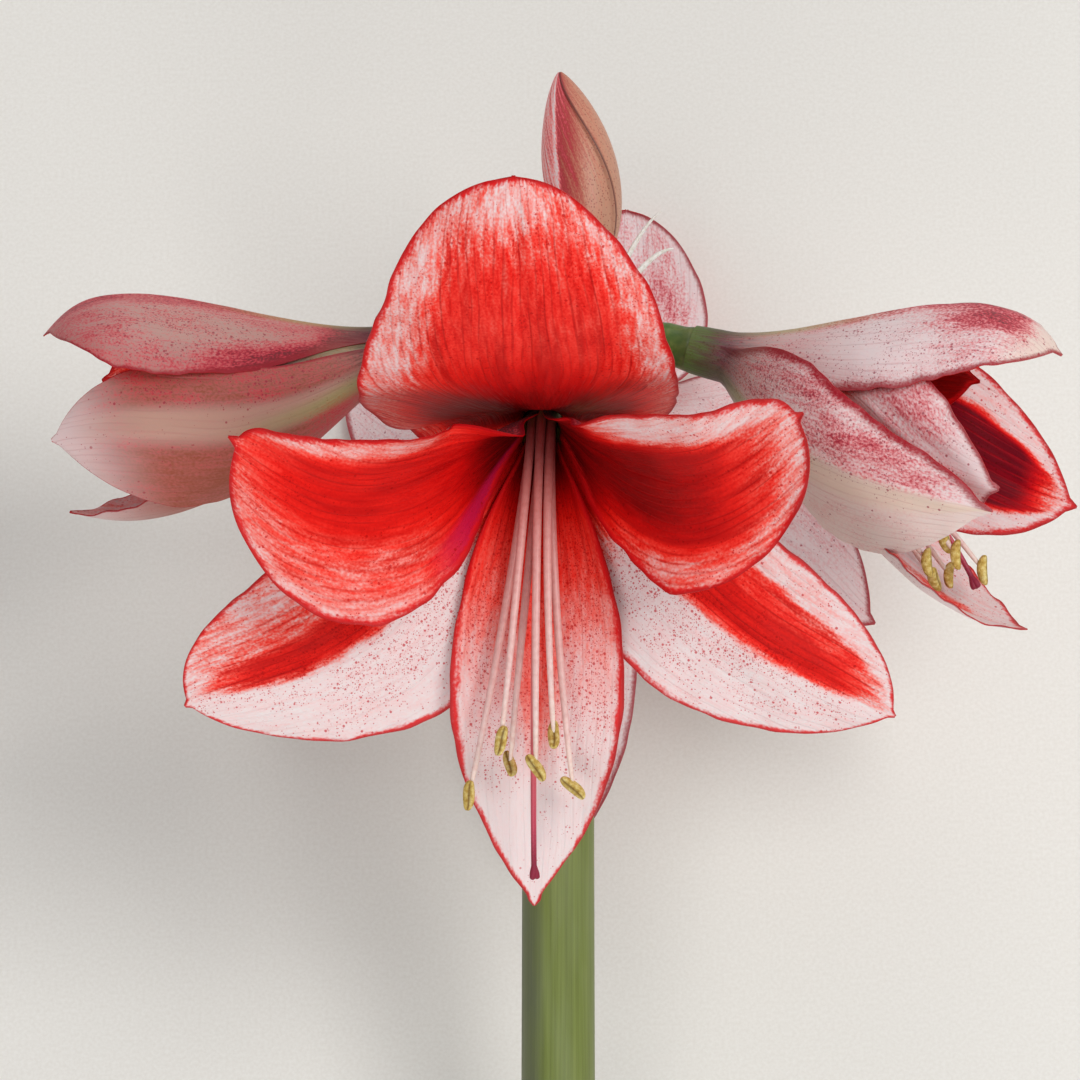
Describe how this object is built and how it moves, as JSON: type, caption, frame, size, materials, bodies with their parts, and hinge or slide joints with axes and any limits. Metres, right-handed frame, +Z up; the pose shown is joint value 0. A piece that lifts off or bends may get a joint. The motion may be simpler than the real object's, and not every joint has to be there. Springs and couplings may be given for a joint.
{
  "type": "amaryllis stem",
  "caption": "Cut amaryllis stem laid down: a thick leafless scape with an umbel of large red and white trumpet flowers and a closed bud.",
  "frame": {"origin": "on the table that the stem lies on, under the middle of its bounding box", "axes": "+Y along the table from the cut end towards the flowers, +Z up, +X towards the right of the front flower as the picture shows it"},
  "size_m": [0.3068, 0.4695, 0.2867],
  "materials": {
    "scape": "satin green plant stem with a waxy bloom",
    "flower_stalk": "satin green plant stalk",
    "open_tepal": "soft satin petal, scarlet veined over white",
    "side_tepal": "soft satin petal, pale pink speckled with crimson",
    "stamens": "matte, pale filaments with ochre anthers",
    "pistil": "satin crimson",
    "bud": "satin pink and tan bud scales",
    "spathe_bract": "dry papery bract",
    "bracteole": "dry white thread"
  },
  "bodies": {
    "root": {"scape": "scape", "front_flower_pedicel": "flower_stalk", "left_flower_pedicel": "flower_stalk", "right_flower_pedicel": "flower_stalk", "rear_flower_pedicel": "flower_stalk", "bud_pedicel": "flower_stalk", "front_sepal_top": "open_tepal", "front_petal_left": "open_tepal", "front_petal_right": "open_tepal", "front_sepal_left": "open_tepal", "front_sepal_right": "open_tepal", "front_petal_bottom": "open_tepal", "rear_sepal_top": "open_tepal", "rear_petal_left": "open_tepal", "rear_petal_right": "open_tepal", "rear_sepal_left": "open_tepal", "rear_sepal_right": "open_tepal", "rear_petal_bottom": "open_tepal", "left_sepal_top": "side_tepal", "left_petal_near": "side_tepal", "left_petal_far": "side_tepal", "left_sepal_near": "side_tepal", "left_sepal_far": "side_tepal", "left_petal_bottom": "side_tepal", "right_sepal_top": "side_tepal", "right_petal_near": "side_tepal", "right_petal_far": "side_tepal", "right_sepal_near": "side_tepal", "right_sepal_far": "side_tepal", "right_petal_bottom": "side_tepal", "front_stamens": "stamens", "rear_stamens": "stamens", "left_stamens": "stamens", "right_stamens": "stamens", "front_pistil": "pistil", "rear_pistil": "pistil", "left_pistil": "pistil", "right_pistil": "pistil", "bud": "bud", "spathe_bract_front": "spathe_bract", "spathe_bract_rear": "spathe_bract", "bracteole_upper": "bracteole", "bracteole_lower": "bracteole"}
  },
  "joints": []
}
